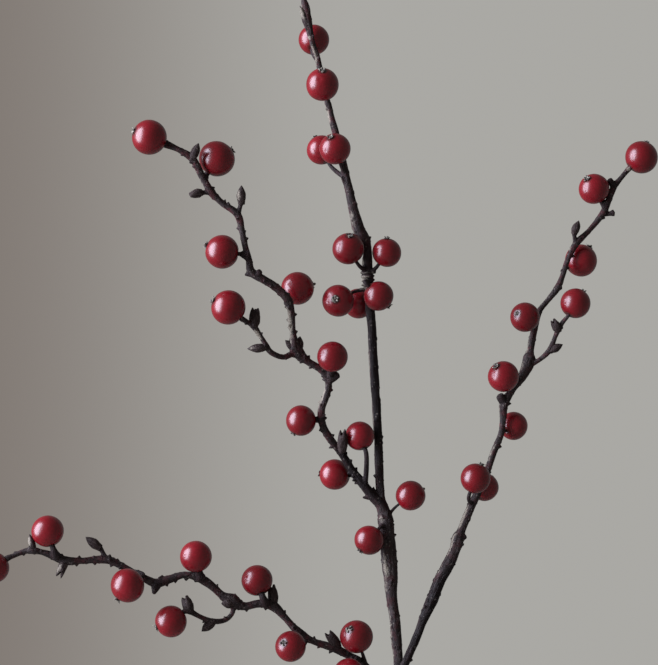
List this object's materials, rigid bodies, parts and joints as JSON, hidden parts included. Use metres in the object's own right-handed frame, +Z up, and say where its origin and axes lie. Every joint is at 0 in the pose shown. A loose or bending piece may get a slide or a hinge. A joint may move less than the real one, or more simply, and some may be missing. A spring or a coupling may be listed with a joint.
{
  "type": "winterberry branches in a vase",
  "caption": "Bare winterberry branches with red berries, standing in a small round pottery vase with a narrow neck.",
  "frame": {"origin": "middle of the vase's flat foot, on the surface it stands on", "axes": "+Z up along the vase and the centre stem; the arrangement faces -Y; +X to the right as seen from the front"},
  "size_m": [0.2181, 0.096, 0.4247],
  "materials": {
    "clay": "matt stoneware, warm grey, lightly speckled",
    "bark": "dark purple-brown bark with pale patches and small bumps",
    "berry_skin": "deep red waxy skin with a soft shine and a dark calyx"
  },
  "bodies": {
    "root": {"vase": "clay", "centre_branch": "bark", "right_branch": "bark", "low_branch": "bark", "centre_berry_01": "berry_skin", "centre_berry_02": "berry_skin", "centre_berry_03": "berry_skin", "centre_berry_04": "berry_skin", "centre_berry_05": "berry_skin", "centre_berry_06": "berry_skin", "centre_berry_07": "berry_skin", "centre_berry_08": "berry_skin", "centre_berry_09": "berry_skin", "centre_berry_10": "berry_skin", "centre_berry_11": "berry_skin", "centre_berry_12": "berry_skin", "centre_berry_13": "berry_skin", "centre_berry_14": "berry_skin", "limb_berry_01": "berry_skin", "limb_berry_02": "berry_skin", "limb_berry_03": "berry_skin", "limb_berry_04": "berry_skin", "limb_berry_05": "berry_skin", "limb_berry_06": "berry_skin", "limb_berry_07": "berry_skin", "limb_berry_08": "berry_skin", "limb_berry_09": "berry_skin", "right_berry_01": "berry_skin", "right_berry_02": "berry_skin", "right_berry_03": "berry_skin", "right_berry_04": "berry_skin", "right_berry_05": "berry_skin", "right_berry_06": "berry_skin", "right_berry_07": "berry_skin", "right_berry_08": "berry_skin", "right_berry_09": "berry_skin", "low_berry_01": "berry_skin", "low_berry_02": "berry_skin", "low_berry_03": "berry_skin", "low_berry_04": "berry_skin", "low_berry_05": "berry_skin", "low_berry_06": "berry_skin", "low_berry_07": "berry_skin", "low_berry_08": "berry_skin", "low_berry_09": "berry_skin"}
  },
  "joints": []
}
